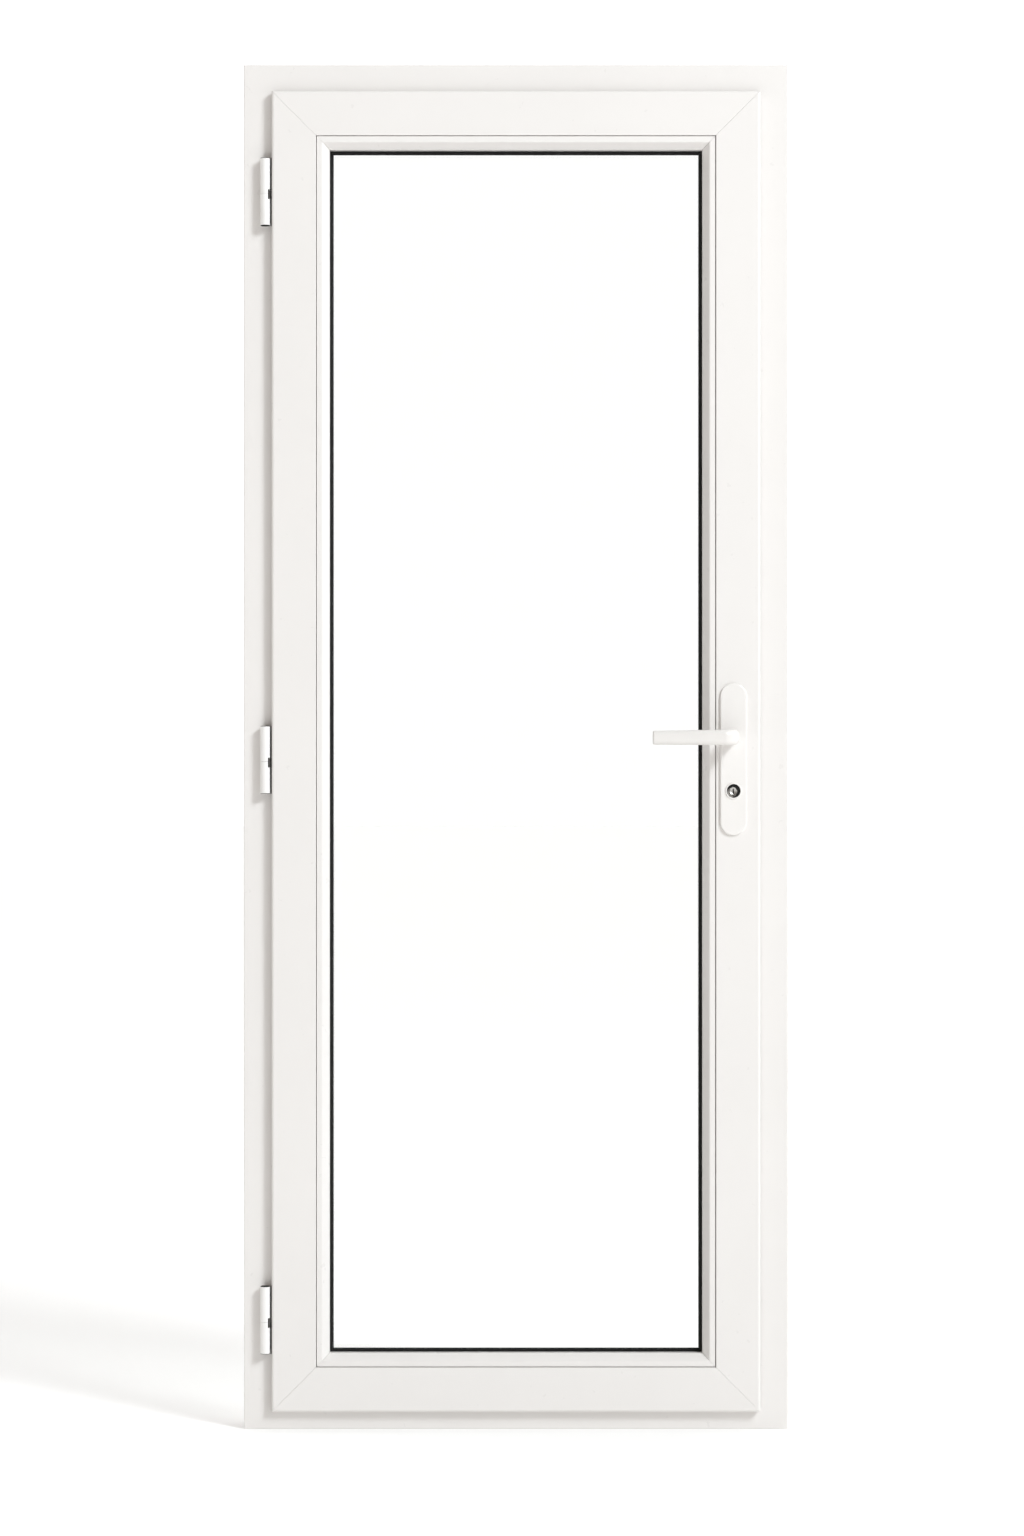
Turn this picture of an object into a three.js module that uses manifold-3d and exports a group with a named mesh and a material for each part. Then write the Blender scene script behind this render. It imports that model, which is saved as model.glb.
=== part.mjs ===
// Glazed casement door leaf in its outer frame, welded PVC profiles, one leaf hung on three hinges.
// Millimetres. +X to the right seen from the room, +Y from the room to the outside, +Z up.
// The origin is the middle of the underside of the threshold, halfway through the frame's depth.

import * as THREE from "three";
import { mergeVertices } from "three/addons/utils/BufferGeometryUtils.js";
import Module from "manifold-3d";

const wasm = await Module();
wasm.setup();

// ---------- driving dimensions ----------

const WIDTH = 870;              // outer frame, across
const HEIGHT = 2180;            // outer frame, from the threshold's underside to the top of the head
const FRAME_FRONT = -35;        // room face of the frame, y
const FRAME_BACK = 35;          // outside face of the frame, y
const FRAME_FACE = 53;          // width of the frame's room face, which is also the rebate wall
const STOP_REACH = 73;          // how far the outside stop reaches in from the frame's edge
const STOP_FRONT = 20;          // room side of the outside stop, y
const THRESHOLD_CUT = 15;       // the threshold is the same profile, this much lower
const FRAME_WALL = 4;

const SASH_HALF_WIDTH = 390;    // leaf, from its middle to the edge of its lip
const SASH_BOTTOM = 30;
const SASH_TOP = 2136;
const SASH_FRONT = -51;         // room face of the leaf, y
const SASH_BACK = 17;           // outside face of the leaf, y
const SASH_FACE = 71;           // width of the leaf's room face
const LIP_BACK = -38;           // back of the lip that laps over the frame, y
const LIP_REACH = 20;           // how far the lip stands out past the leaf's edge face
const LEG_REACH = 92;           // the outside leg that the glass bears on
const LEG_FRONT = 9;
const SASH_WALL = 3.5;
const EDGE_BEVEL = 2;

const BEAD_START = 72;
const BEAD_FLAT = 80;
const BEAD_FRONT = -49;
const BEAD_SLOPE_END = -37;
const BEAD_BACK = -22;
const GLASS_EDGE = 76;          // edge of the panes, from the edge of the lip
const PANE = 4;                 // one sheet of glass
const CAVITY = 16;              // gap between the two sheets
const GLASS_FRONT = -18.5;      // room face of the glazing unit, y
const SIGHT_LINE = 98;          // edge of the inner black gasket, from the edge of the lip
const OUTER_SIGHT_LINE = 93;    // edge of the outer black gasket
const GASKET_START = 84;

const GAP = 0.3;                // air between two pieces that touch
const ROUND = 24;               // sides of a round piece

const HINGE_X = -400;
const HINGE_Y = -45;
const HINGE_HEIGHTS = { top: 1975.5, middle: 1069.5, bottom: 176 };
const BARREL_RADIUS = 8;
const BARREL_HALF = 54;         // half the height of a hinge
const KNUCKLE_SPLIT = -3;       // where the two knuckles meet, from the hinge's middle
const PIN_RADIUS = 3.5;

const LOCK_X = 346.5;           // spindle and cylinder axis
const LOCK_Y = -10;             // middle plane of the lock and of the locking groove
const LEVER_Z = 1105;
const CYLINDER_Z = 1020;        // 85 mm below the spindle
const BOLT_Z = 1050;
const ROLLER_Z = 1150;
const CAM_HEIGHTS = { upper: 1760, lower: 420 };
const EDGE_X = SASH_HALF_WIDTH - LIP_REACH;       // lock-side edge face of the leaf
const WALL_X = WIDTH / 2 - FRAME_FACE;            // rebate wall of the lock jamb
const ROD_TRAVEL = 12;          // drop of the locking rod for 45 degrees of lift at the lever

const PLATE_HEIGHT = 243;
const PLATE_MIDDLE_Z = 1070.5;
const INNER_PLATE_WIDTH = 43;
const OUTER_PLATE_WIDTH = 28;
const INNER_PLATE_THICKNESS = 4;
const OUTER_PLATE_THICKNESS = 9;
const RIM_RADIUS = 13;
const CYLINDER_RADIUS = 10.5;
const PLUG_RADIUS = 6.5;

// ---------- finishes ----------

const finish = (color, roughness, metalness) => () =>
  new THREE.MeshStandardMaterial({ color, roughness, metalness });
const whitePvc = finish(0xf1efec, 0.35, 0);
const whitePowderCoat = finish(0xf6f5f3, 0.3, 0.1);
const blackRubber = finish(0x0b0b0b, 0.8, 0);
const clearGlass = finish(0xf4f8f6, 0.05, 0);
const zincSteel = finish(0xb4b6b8, 0.45, 0.9);
const brushedNickel = finish(0xc2c0ba, 0.3, 1);
const anodised = finish(0x9c9ea0, 0.4, 0.8);

// ---------- shapes ----------

function box(x0, x1, y0, y1, z0, z1) {
  const geometry = new THREE.BoxGeometry(x1 - x0, y1 - y0, z1 - z0);
  return geometry.translate((x0 + x1) / 2, (y0 + y1) / 2, (z0 + z1) / 2);
}

// A round bar between two ends on one axis. The centre gives the other two coordinates.
function roundBar(axis, radius, start, end, centre) {
  const geometry = new THREE.CylinderGeometry(radius, radius, end - start, ROUND);
  if (axis === "x") geometry.rotateZ(-Math.PI / 2);
  if (axis === "z") geometry.rotateX(Math.PI / 2);
  const middle = { ...centre, [axis]: (start + end) / 2 };
  return geometry.translate(middle.x, middle.y, middle.z);
}

function toSolid(geometry) {
  const bare = geometry.clone();
  bare.deleteAttribute("normal");
  bare.deleteAttribute("uv");
  const merged = mergeVertices(bare, 1e-4);
  const vertProperties = new Float32Array(merged.attributes.position.array);
  const triVerts = new Uint32Array(merged.index.array);
  return new wasm.Manifold(new wasm.Mesh({ numProp: 3, vertProperties, triVerts }));
}

function toGeometry(solid) {
  const mesh = solid.getMesh();
  const geometry = new THREE.BufferGeometry();
  geometry.setAttribute("position", new THREE.BufferAttribute(mesh.vertProperties, 3));
  geometry.setIndex(new THREE.BufferAttribute(mesh.triVerts, 1));
  geometry.computeVertexNormals();
  return geometry;
}

function shape(joined, cuts = []) {
  let solid = toSolid(joined[0]);
  for (const piece of joined.slice(1)) solid = solid.add(toSolid(piece));
  for (const piece of cuts) solid = solid.subtract(toSolid(piece));
  return toGeometry(solid);
}

function outline(points, holes = []) {
  const result = new THREE.Shape(points.map(([u, v]) => new THREE.Vector2(u, v)));
  for (const hole of holes) {
    result.holes.push(new THREE.Path(hole.map(([u, v]) => new THREE.Vector2(u, v))));
  }
  return result;
}

const rectangle = (u0, u1, v0, v1) => [[u0, v0], [u1, v0], [u1, v1], [u0, v1]];

// A profile bar with 45 degree ends, the left-hand one of four round a rectangle centred on the origin.
// The section's u runs in from the rectangle's edge and its v is y.
function mitredBar(section, halfAcross, halfAlong) {
  const geometry = new THREE.ExtrudeGeometry(section, { depth: 1, bevelEnabled: false });
  const position = geometry.attributes.position;
  for (let i = 0; i < position.count; i += 1) {
    const u = position.getX(i);
    const end = position.getZ(i) > 0.5 ? 1 : -1;
    position.setX(i, u - halfAcross);
    position.setZ(i, end * (halfAlong - u - GAP / 2));
  }
  geometry.computeVertexNormals();
  return geometry;
}

// A flat ring round the leaf or the frame, between two distances in from the rectangle's edge.
function flatRing(halfWidth, bottom, top, outer, inner, yFront, yBack) {
  const edge = (inset) =>
    rectangle(inset - halfWidth, halfWidth - inset, bottom + inset, top - inset);
  const ring = outline(edge(outer), [edge(inner)]);
  return slab(ring, yFront, yBack);
}

// An outline in the XZ plane, made solid from yFront to yBack.
function slab(flat, yFront, yBack, bevel = 0) {
  const settings = {
    depth: yBack - yFront - 2 * bevel,
    bevelEnabled: bevel > 0,
    bevelThickness: bevel,
    bevelSize: bevel,
    bevelOffset: -bevel,
    bevelSegments: 1,
    curveSegments: ROUND / 2,
  };
  const geometry = new THREE.ExtrudeGeometry(flat, settings);
  return geometry.rotateX(Math.PI / 2).translate(0, yBack - bevel, 0);
}

function part(parent, name, geometry, material) {
  const mesh = new THREE.Mesh(geometry, material());
  mesh.name = name;
  parent.add(mesh);
  return mesh;
}

// ---------- the group and its sides ----------

const group = new THREE.Group();
const frameCentreZ = (HEIGHT - THRESHOLD_CUT) / 2;
const frameHalfHeight = (HEIGHT + THRESHOLD_CUT) / 2;
const sashCentreZ = (SASH_BOTTOM + SASH_TOP) / 2;
const sashHalfHeight = (SASH_TOP - SASH_BOTTOM) / 2;

const QUARTER = Math.PI / 2;
const SIDES = {
  left: { turn: 0, upright: true },
  right: { turn: 2 * QUARTER, upright: true },
  top: { turn: QUARTER, upright: false },
  bottom: { turn: -QUARTER, upright: false },
};

// The profile of one side as a geometry already in its place.
function sideBar(section, side, halfWidth, halfHeight, centreZ) {
  const { turn, upright } = SIDES[side];
  const across = upright ? halfWidth : halfHeight;
  const along = upright ? halfHeight : halfWidth;
  return mitredBar(section, across, along).rotateY(turn).translate(0, 0, centreZ);
}

const frameBar = (section, side) =>
  sideBar(section, side, WIDTH / 2, frameHalfHeight, frameCentreZ);
const sashBar = (section, side) =>
  sideBar(section, side, SASH_HALF_WIDTH, sashHalfHeight, sashCentreZ);

// ---------- outer frame ----------

function frameSection(start) {
  const profile = [
    [start, FRAME_FRONT],
    [FRAME_FACE, FRAME_FRONT],
    [FRAME_FACE, STOP_FRONT],
    [STOP_REACH, STOP_FRONT],
    [STOP_REACH, FRAME_BACK],
    [start, FRAME_BACK],
  ];
  const mainChamber = rectangle(
    start + FRAME_WALL, FRAME_FACE - FRAME_WALL, FRAME_FRONT + FRAME_WALL, FRAME_BACK - FRAME_WALL);
  const stopChamber = rectangle(
    FRAME_FACE, STOP_REACH - FRAME_WALL, STOP_FRONT + FRAME_WALL, FRAME_BACK - FRAME_WALL);
  return outline(profile, [mainChamber, stopChamber]);
}

// A channel of bent steel, open towards the leaf.
function channelSection(u0, u1, v0, v1, steel, openLow) {
  const web = openLow ? [u1 - steel, u0] : [u0 + steel, u1];
  const back = openLow ? u1 : u0;
  return outline([
    [back, v0], [web[1], v0], [web[1], v0 + steel], [web[0], v0 + steel],
    [web[0], v1 - steel], [web[1], v1 - steel], [web[1], v1], [back, v1],
  ]);
}

const belowFloor = box(-WIDTH, WIDTH, -100, 100, -100, 0);
const boltPocket = box(WALL_X - 10, WALL_X + 8, LOCK_Y - 6, LOCK_Y + 6, BOLT_Z - 13, BOLT_Z + 13);

part(group, "frame_hinge_jamb",
  shape([frameBar(frameSection(0), "left")], [belowFloor]), whitePvc);
part(group, "frame_lock_jamb",
  shape([frameBar(frameSection(0), "right")], [belowFloor, boltPocket]), whitePvc);
part(group, "frame_head", frameBar(frameSection(0), "top"), whitePvc);
part(group, "frame_threshold", frameBar(frameSection(THRESHOLD_CUT), "bottom"), whitePvc);

const FRAME_STEEL = 2;
const STEEL_AIR = 2;
const frameSteelSection = channelSection(
  FRAME_WALL + STEEL_AIR, FRAME_FACE - FRAME_WALL - STEEL_AIR,
  FRAME_FRONT + FRAME_WALL + STEEL_AIR, FRAME_BACK - FRAME_WALL - STEEL_AIR, FRAME_STEEL, false);
const clearOfFloor = box(-WIDTH, WIDTH, -100, 100, -100, 60);

part(group, "frame_hinge_jamb_steel",
  shape([frameBar(frameSteelSection, "left")], [clearOfFloor]), zincSteel);
part(group, "frame_lock_jamb_steel",
  shape([frameBar(frameSteelSection, "right")], [clearOfFloor]), zincSteel);
part(group, "frame_head_steel", frameBar(frameSteelSection, "top"), zincSteel);

// The seal on the stop, which the closed leaf presses on.
const FRAME_SEAL = [60, 70];    // its two edges, from the frame's edge
const SEAL_CLEARANCE = 0.8;     // air between the seal and the closed leaf
part(group, "frame_seal",
  flatRing(WIDTH / 2, -THRESHOLD_CUT, HEIGHT, ...FRAME_SEAL, SASH_BACK + SEAL_CLEARANCE,
    STOP_FRONT - GAP),
  blackRubber);

const DRAIN_HALF = 20;
const DRAIN_HEIGHTS = [12, 26];
const DRAIN_DEPTH = 4;
const DRAIN_PLACES = { left: -260, right: 260 };
for (const [side, x] of Object.entries(DRAIN_PLACES)) {
  part(group, `drain_cover_${side}`,
    box(x - DRAIN_HALF, x + DRAIN_HALF, FRAME_BACK + GAP, FRAME_BACK + DRAIN_DEPTH,
      ...DRAIN_HEIGHTS), whitePvc);
}

// ---------- leaf ----------

const GROOVE_HALF = 10.3;       // half the mouth of the locking groove, which holds the faceplate
const CHANNEL_HALF = 8;         // half the channel behind the faceplate, where the rod runs
const GROOVE_FLOOR = LIP_REACH + 3.3;
const CHANNEL_FLOOR = LIP_REACH + 10;
const CHAMBER_START = CHANNEL_FLOOR + SASH_WALL;
const sashSection = outline([
  [0, SASH_FRONT + EDGE_BEVEL],
  [EDGE_BEVEL, SASH_FRONT],
  [SASH_FACE - EDGE_BEVEL, SASH_FRONT],
  [SASH_FACE, SASH_FRONT + EDGE_BEVEL],
  [SASH_FACE, LEG_FRONT],
  [LEG_REACH, LEG_FRONT],
  [LEG_REACH, SASH_BACK - EDGE_BEVEL],
  [LEG_REACH - EDGE_BEVEL, SASH_BACK],
  [LIP_REACH, SASH_BACK],
  [LIP_REACH, LOCK_Y + GROOVE_HALF],
  [GROOVE_FLOOR, LOCK_Y + GROOVE_HALF],
  [GROOVE_FLOOR, LOCK_Y + CHANNEL_HALF],
  [CHANNEL_FLOOR, LOCK_Y + CHANNEL_HALF],
  [CHANNEL_FLOOR, LOCK_Y - CHANNEL_HALF],
  [GROOVE_FLOOR, LOCK_Y - CHANNEL_HALF],
  [GROOVE_FLOOR, LOCK_Y - GROOVE_HALF],
  [LIP_REACH, LOCK_Y - GROOVE_HALF],
  [LIP_REACH, LIP_BACK],
  [0, LIP_BACK],
], [
  rectangle(SASH_WALL, SASH_FACE - SASH_WALL, SASH_FRONT + SASH_WALL, LIP_BACK - SASH_WALL),
  rectangle(CHAMBER_START, SASH_FACE - SASH_WALL, LIP_BACK + 1, SASH_BACK - SASH_WALL),
]);

const SPINDLE_HOLE = 9.5;
const CYLINDER_HOLE = CYLINDER_RADIUS + GAP;
const lockHoles = [
  roundBar("y", SPINDLE_HOLE, -80, 80, { x: LOCK_X, z: LEVER_Z }),
  roundBar("y", CYLINDER_HOLE, -80, 80, { x: LOCK_X, z: CYLINDER_Z }),
];
const CASE_BOTTOM = 992;
const CASE_TOP = 1178;
const CASE_BACK_X = 330;
const CASE_FRONT_X = 361.5;
const CASE_HALF = 7;
const mortise = box(CASE_BACK_X - 1, CASE_FRONT_X + 1, LOCK_Y - CHANNEL_HALF, LOCK_Y + CHANNEL_HALF,
  CASE_BOTTOM - 1, CASE_TOP + 1);

part(group, "sash_hinge_stile", sashBar(sashSection, "left"), whitePvc);
part(group, "sash_lock_stile",
  shape([sashBar(sashSection, "right")], [mortise, ...lockHoles]), whitePvc);
part(group, "sash_top_rail", sashBar(sashSection, "top"), whitePvc);
part(group, "sash_bottom_rail", sashBar(sashSection, "bottom"), whitePvc);

const SASH_STEEL = 2;
const SASH_STEEL_AIR = 1.5;
const sashSteelSection = channelSection(
  CHAMBER_START + SASH_STEEL_AIR, SASH_FACE - SASH_WALL - SASH_STEEL_AIR,
  LIP_BACK + 1 + SASH_STEEL_AIR, SASH_BACK - SASH_WALL - SASH_STEEL_AIR, SASH_STEEL, true);

part(group, "sash_hinge_stile_steel", sashBar(sashSteelSection, "left"), zincSteel);
part(group, "sash_lock_stile_steel",
  shape([sashBar(sashSteelSection, "right")], lockHoles), zincSteel);
part(group, "sash_top_rail_steel", sashBar(sashSteelSection, "top"), zincSteel);
part(group, "sash_bottom_rail_steel", sashBar(sashSteelSection, "bottom"), zincSteel);

// ---------- glazing ----------

const BEAD_WALL = 3;
const beadSection = outline([
  [BEAD_START, BEAD_FRONT],
  [BEAD_FLAT, BEAD_FRONT],
  [LEG_REACH, BEAD_SLOPE_END],
  [LEG_REACH, BEAD_BACK],
  [BEAD_START, BEAD_BACK],
], [[
  [BEAD_START + BEAD_WALL, BEAD_FRONT + BEAD_WALL],
  [BEAD_FLAT - 1, BEAD_FRONT + BEAD_WALL],
  [LEG_REACH - BEAD_WALL, BEAD_SLOPE_END + 1],
  [LEG_REACH - BEAD_WALL, BEAD_BACK - BEAD_WALL],
  [BEAD_START + BEAD_WALL, BEAD_BACK - BEAD_WALL],
]]);
for (const side of Object.keys(SIDES)) {
  part(group, `glazing_bead_${side}`, sashBar(beadSection, side), whitePvc);
}

const sashRing = (outer, inner, yFront, yBack) =>
  flatRing(SASH_HALF_WIDTH, SASH_BOTTOM, SASH_TOP, outer, inner, yFront, yBack);
const glassHalf = SASH_HALF_WIDTH - GLASS_EDGE;
const pane = (yFront) =>
  box(-glassHalf, glassHalf, yFront, yFront + PANE, SASH_BOTTOM + GLASS_EDGE, SASH_TOP - GLASS_EDGE);
const outerPaneFront = GLASS_FRONT + PANE + CAVITY;

part(group, "glass_inner_pane", pane(GLASS_FRONT), clearGlass);
part(group, "glass_outer_pane", pane(outerPaneFront), clearGlass);
part(group, "glass_spacer_bar",
  sashRing(GLASS_EDGE + 2, GLASS_EDGE + 12, GLASS_FRONT + PANE + GAP, outerPaneFront - GAP), anodised);
part(group, "inner_glazing_gasket",
  sashRing(GASKET_START, SIGHT_LINE, BEAD_BACK + GAP, GLASS_FRONT - GAP), blackRubber);
part(group, "outer_glazing_gasket",
  sashRing(GASKET_START, OUTER_SIGHT_LINE, outerPaneFront + PANE + GAP, LEG_FRONT - GAP),
  blackRubber);
const PACKER_HALF = 50;
const PACKER_PLACES = { left: -200, right: 200 };
for (const [side, x] of Object.entries(PACKER_PLACES)) {
  part(group, `glazing_packer_${side}`,
    box(x - PACKER_HALF, x + PACKER_HALF, GLASS_FRONT, outerPaneFront + PANE,
      SASH_BOTTOM + SASH_FACE + GAP, SASH_BOTTOM + GLASS_EDGE - GAP), blackRubber);
}

// ---------- hinges ----------

const ARM_FRONT = LIP_BACK + 1.4;   // the arm runs in the seal gap between lip and frame
const ARM_BACK = FRAME_FRONT - GAP;
const ARM_LOW = 6;
const ARM_HIGH = 46;
const FOOT_HALF = 6;
const WEB_HALF = 1.5;               // narrow on the frame side, so that it clears the frame as it turns
const sealNotches = [];

for (const [place, z] of Object.entries(HINGE_HEIGHTS)) {
  const axis = { x: HINGE_X, y: HINGE_Y };
  const split = z + KNUCKLE_SPLIT;
  const bore = roundBar("z", PIN_RADIUS + GAP, z - 2 * BARREL_HALF, z + 2 * BARREL_HALF, axis);
  const footX = [HINGE_X - FOOT_HALF, HINGE_X + FOOT_HALF];

  part(group, `frame_hinge_leaf_${place}`, shape([
    roundBar("z", BARREL_RADIUS, z - BARREL_HALF, split - GAP, axis),
    box(...footX, HINGE_Y, ARM_BACK, z - ARM_HIGH, z - ARM_LOW - 4),
  ], [bore]), whitePowderCoat);

  const plateX = -EDGE_X - GAP;
  part(group, `sash_hinge_leaf_${place}`, shape([
    roundBar("z", BARREL_RADIUS, split + GAP, z + BARREL_HALF, axis),
    box(HINGE_X - WEB_HALF, footX[1], HINGE_Y, ARM_BACK, z + ARM_LOW, z + ARM_HIGH),
    box(HINGE_X, plateX, ARM_FRONT, ARM_BACK, z + ARM_LOW, z + ARM_HIGH),
    box(plateX - 2.4, plateX, ARM_FRONT, LOCK_Y - GROOVE_HALF - 1, z + ARM_LOW, z + ARM_HIGH),
  ], [bore]), whitePowderCoat);

  part(group, `hinge_pin_${place}`,
    roundBar("z", PIN_RADIUS, z - BARREL_HALF + 3, z + BARREL_HALF - 3, axis), zincSteel);
  sealNotches.push(
    box(-SASH_HALF_WIDTH - 1, plateX, ARM_FRONT - GAP, ARM_BACK, z + ARM_LOW - 1, z + ARM_HIGH + 1));
}

// The seal behind the lip, thinned where the hinge arms cross it.
part(group, "sash_seal",
  shape([sashRing(2, 7, LIP_BACK + GAP, FRAME_FRONT - 0.9)], sealNotches), blackRubber);

// ---------- lock: faceplate, rod and cams ----------

const FACEPLATE_HALF = 10;
const FACEPLATE_HEIGHTS = [260, 1900];
const ROD_HEIGHTS = [380, 1800];
const FACEPLATE_BACK_X = EDGE_X - 2.7;
const ROD_BACK_X = CASE_FRONT_X + 1;
const ROD_FRONT_X = FACEPLATE_BACK_X - 1;
const ROD_HALF = 7.5;
const WINDOW_HALF = 5.2;        // half the width of the windows for bolt and roller
const BOLT_HALF_HEIGHT = 11;
const ROLLER_HALF_HEIGHT = 12;
const CAM_NECK = 3;
const CAM_HEAD = 6.5;

const window = (half, z0, z1) => box(CASE_FRONT_X, EDGE_X + 1, LOCK_Y - half, LOCK_Y + half, z0, z1);
const boltWindow = (spare) =>
  window(WINDOW_HALF, BOLT_Z - BOLT_HALF_HEIGHT - spare, BOLT_Z + BOLT_HALF_HEIGHT + spare);
const rollerWindow = (spare) =>
  window(WINDOW_HALF, ROLLER_Z - ROLLER_HALF_HEIGHT - spare, ROLLER_Z + ROLLER_HALF_HEIGHT + spare);
const camSlots = Object.values(CAM_HEIGHTS).map((z) =>
  window(CAM_NECK + 0.6, z - ROD_TRAVEL - CAM_NECK - 1, z + ROD_TRAVEL + CAM_NECK + 1));

part(group, "lock_faceplate", shape(
  [box(FACEPLATE_BACK_X, EDGE_X, LOCK_Y - FACEPLATE_HALF, LOCK_Y + FACEPLATE_HALF,
    ...FACEPLATE_HEIGHTS)],
  [boltWindow(0.6), rollerWindow(0.6), ...camSlots]), zincSteel);

// The follower's finger works in the rod's middle notch.
const FINGER_REACH = 17.5;
const FINGER_RADIUS = 2.2;
const fingerNotch = window(WINDOW_HALF, LEVER_Z - FINGER_RADIUS - 2.2, LEVER_Z + FINGER_RADIUS + 2.2);
part(group, "lock_rod", shape(
  [box(ROD_BACK_X, ROD_FRONT_X, LOCK_Y - ROD_HALF, LOCK_Y + ROD_HALF,
    ...ROD_HEIGHTS)],
  [boltWindow(ROD_TRAVEL + 1), rollerWindow(ROD_TRAVEL + 1), fingerNotch]), zincSteel);

const CAM_NECK_END = EDGE_X + 5.4;
const CAM_HEAD_END = EDGE_X + 7.6;
for (const [place, z] of Object.entries(CAM_HEIGHTS)) {
  const centre = { y: LOCK_Y, z };
  part(group, `locking_cam_${place}`, shape([
    roundBar("x", CAM_NECK, ROD_FRONT_X + GAP, CAM_NECK_END + 1, centre),
    roundBar("x", CAM_HEAD, CAM_NECK_END, CAM_HEAD_END, centre),
  ]), zincSteel);
}

// ---------- keeps on the lock jamb ----------

const KEEP_HALF = 11;
const KEEP_FRONT_X = WALL_X - 2.7;
const KEEP_BACK_X = WALL_X - GAP;
const CLAW_START_X = EDGE_X + 3.3;
const CLAW_END_X = EDGE_X + 5;
const CLAW_LOW = CAM_HEAD + 1;
const CLAW_HIGH = 22;
const CLAW_SLOT = CAM_NECK + 1;
const KEEP_LOW = 34;            // how far an end keep's plate reaches below and above its cam
const KEEP_HIGH = 12;
const CENTRE_KEEP_HEIGHTS = [1015, 1185];
const KEEP_WINDOW_HALF = 13;
for (const [place, z] of Object.entries(CAM_HEIGHTS)) {
  const reach = [z - CLAW_HIGH, z - CLAW_LOW];
  const pieces = [
    box(KEEP_FRONT_X, KEEP_BACK_X, LOCK_Y - KEEP_HALF, LOCK_Y + KEEP_HALF,
      z - KEEP_LOW, z + KEEP_HIGH)];
  for (const way of [-1, 1]) {
    const wall = [LOCK_Y + way * (KEEP_HALF - 2), LOCK_Y + way * KEEP_HALF].sort((a, b) => a - b);
    const claw = [LOCK_Y + way * CLAW_SLOT, LOCK_Y + way * KEEP_HALF].sort((a, b) => a - b);
    pieces.push(box(CLAW_START_X, KEEP_BACK_X, ...wall, ...reach));
    pieces.push(box(CLAW_START_X, CLAW_END_X, ...claw, ...reach));
  }
  part(group, `keep_${place}`, shape(pieces), zincSteel);
}
const keepWindow = (z, half) =>
  box(KEEP_FRONT_X - 1, KEEP_BACK_X + 1, LOCK_Y - 6, LOCK_Y + 6, z - half, z + half);
part(group, "keep_centre", shape(
  [box(KEEP_FRONT_X, KEEP_BACK_X, LOCK_Y - KEEP_HALF, LOCK_Y + KEEP_HALF,
    ...CENTRE_KEEP_HEIGHTS)],
  [keepWindow(BOLT_Z, KEEP_WINDOW_HALF), keepWindow(ROLLER_Z, KEEP_WINDOW_HALF)]), zincSteel);

// ---------- lock case and what it holds ----------

const CASE_WALL = 1.5;
part(group, "lock_case", shape(
  [box(CASE_BACK_X, CASE_FRONT_X, LOCK_Y - CASE_HALF, LOCK_Y + CASE_HALF, CASE_BOTTOM, CASE_TOP)],
  [
    box(CASE_BACK_X + CASE_WALL, CASE_FRONT_X + 1, LOCK_Y - CASE_HALF + CASE_WALL,
      LOCK_Y + CASE_HALF - CASE_WALL, CASE_BOTTOM + CASE_WALL, CASE_TOP - CASE_WALL),
    ...lockHoles,
  ]), zincSteel);

const BOLT_HALF = 4.5;
part(group, "deadbolt",
  box(LOCK_X - 5, EDGE_X - 0.5, LOCK_Y - BOLT_HALF, LOCK_Y + BOLT_HALF,
    BOLT_Z - BOLT_HALF_HEIGHT, BOLT_Z + BOLT_HALF_HEIGHT), brushedNickel);

// The sprung roller latch: a carriage with a fork, and the roller between its arms.
const ROLLER_RADIUS = 4.7;
const ROLLER_X = EDGE_X + 1.5;
const ROLLER_HALF = 8;
const TRUNNION = 1.5;
const rollerAxis = { x: ROLLER_X, y: LOCK_Y };
const trunnion = (radius, half) =>
  roundBar("z", radius, ROLLER_Z - half, ROLLER_Z + half, rollerAxis);
part(group, "roller_carriage", shape(
  [
    box(LOCK_X, ROLLER_X - ROLLER_RADIUS - 1, LOCK_Y - BOLT_HALF, LOCK_Y + BOLT_HALF,
      ROLLER_Z - ROLLER_HALF_HEIGHT, ROLLER_Z + ROLLER_HALF_HEIGHT),
    box(LOCK_X, ROLLER_X + 3, LOCK_Y - 3, LOCK_Y + 3, ROLLER_Z + ROLLER_HALF + 0.4,
      ROLLER_Z + ROLLER_HALF_HEIGHT),
    box(LOCK_X, ROLLER_X + 3, LOCK_Y - 3, LOCK_Y + 3, ROLLER_Z - ROLLER_HALF_HEIGHT,
      ROLLER_Z - ROLLER_HALF - 0.4),
  ],
  [trunnion(TRUNNION + GAP, ROLLER_HALF_HEIGHT + 1)]), zincSteel);
part(group, "latch_roller", shape([
  roundBar("z", ROLLER_RADIUS, ROLLER_Z - ROLLER_HALF, ROLLER_Z + ROLLER_HALF, rollerAxis),
  trunnion(TRUNNION, ROLLER_HALF_HEIGHT - GAP),
]), brushedNickel);

// ---------- handle set ----------

const SPINDLE_HALF = 4;
const FOLLOWER_HALF = 5;
const FOLLOWER_RADIUS = 9;
const leverAxis = { x: LOCK_X, z: LEVER_Z };
const squareBar = (half, y0, y1) =>
  box(LOCK_X - half, LOCK_X + half, y0, y1, LEVER_Z - half, LEVER_Z + half);
const socket = (y0, y1) => squareBar(SPINDLE_HALF + GAP, y0, y1);

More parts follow.
